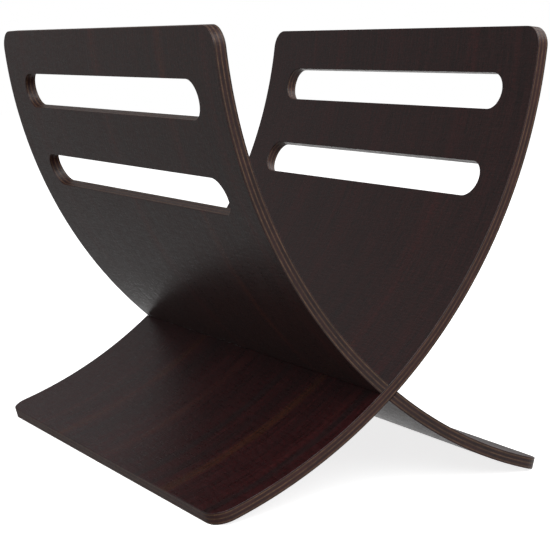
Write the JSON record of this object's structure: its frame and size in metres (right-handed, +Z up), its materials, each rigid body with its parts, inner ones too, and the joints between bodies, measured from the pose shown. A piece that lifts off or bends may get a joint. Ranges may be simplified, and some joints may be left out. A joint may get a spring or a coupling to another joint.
{
  "type": "magazine rack",
  "caption": "Free-standing magazine rack: bent plywood panels with hand-hold slots, slid together to cross like an X.",
  "frame": {"origin": "on the floor, under the middle of the rack: bottom centre of the bounding box", "axes": "+Z up, Y along the width of the panels and the hand holds, X across the profile; the left panel's top edge is at -X and its foot at +X"},
  "size_m": [0.2832, 0.38, 0.3332],
  "materials": {
    "face_veneer": "dark espresso stain under a satin lacquer",
    "dark_veneer": "stained veneer seen on the edge",
    "pale_veneer": "paler cross veneer seen on the edge"
  },
  "bodies": {
    "left_panel": {"left_panel_outer_face_veneer": "face_veneer", "left_panel_outer_pale_veneer": "pale_veneer", "left_panel_outer_dark_veneer": "dark_veneer", "left_panel_middle_pale_veneer": "pale_veneer", "left_panel_inner_dark_veneer": "dark_veneer", "left_panel_inner_pale_veneer": "pale_veneer", "left_panel_inner_face_veneer": "face_veneer"},
    "right_panel": {"right_panel_outer_face_veneer": "face_veneer", "right_panel_outer_pale_veneer": "pale_veneer", "right_panel_outer_dark_veneer": "dark_veneer", "right_panel_middle_pale_veneer": "pale_veneer", "right_panel_inner_dark_veneer": "dark_veneer", "right_panel_inner_pale_veneer": "pale_veneer", "right_panel_inner_face_veneer": "face_veneer"}
  },
  "joints": [
    {"name": "halving_slide", "type": "slide", "parent": "left_panel", "child": "right_panel", "axis": [0, -1, 0], "range_m": [0, 0.19]}
  ]
}
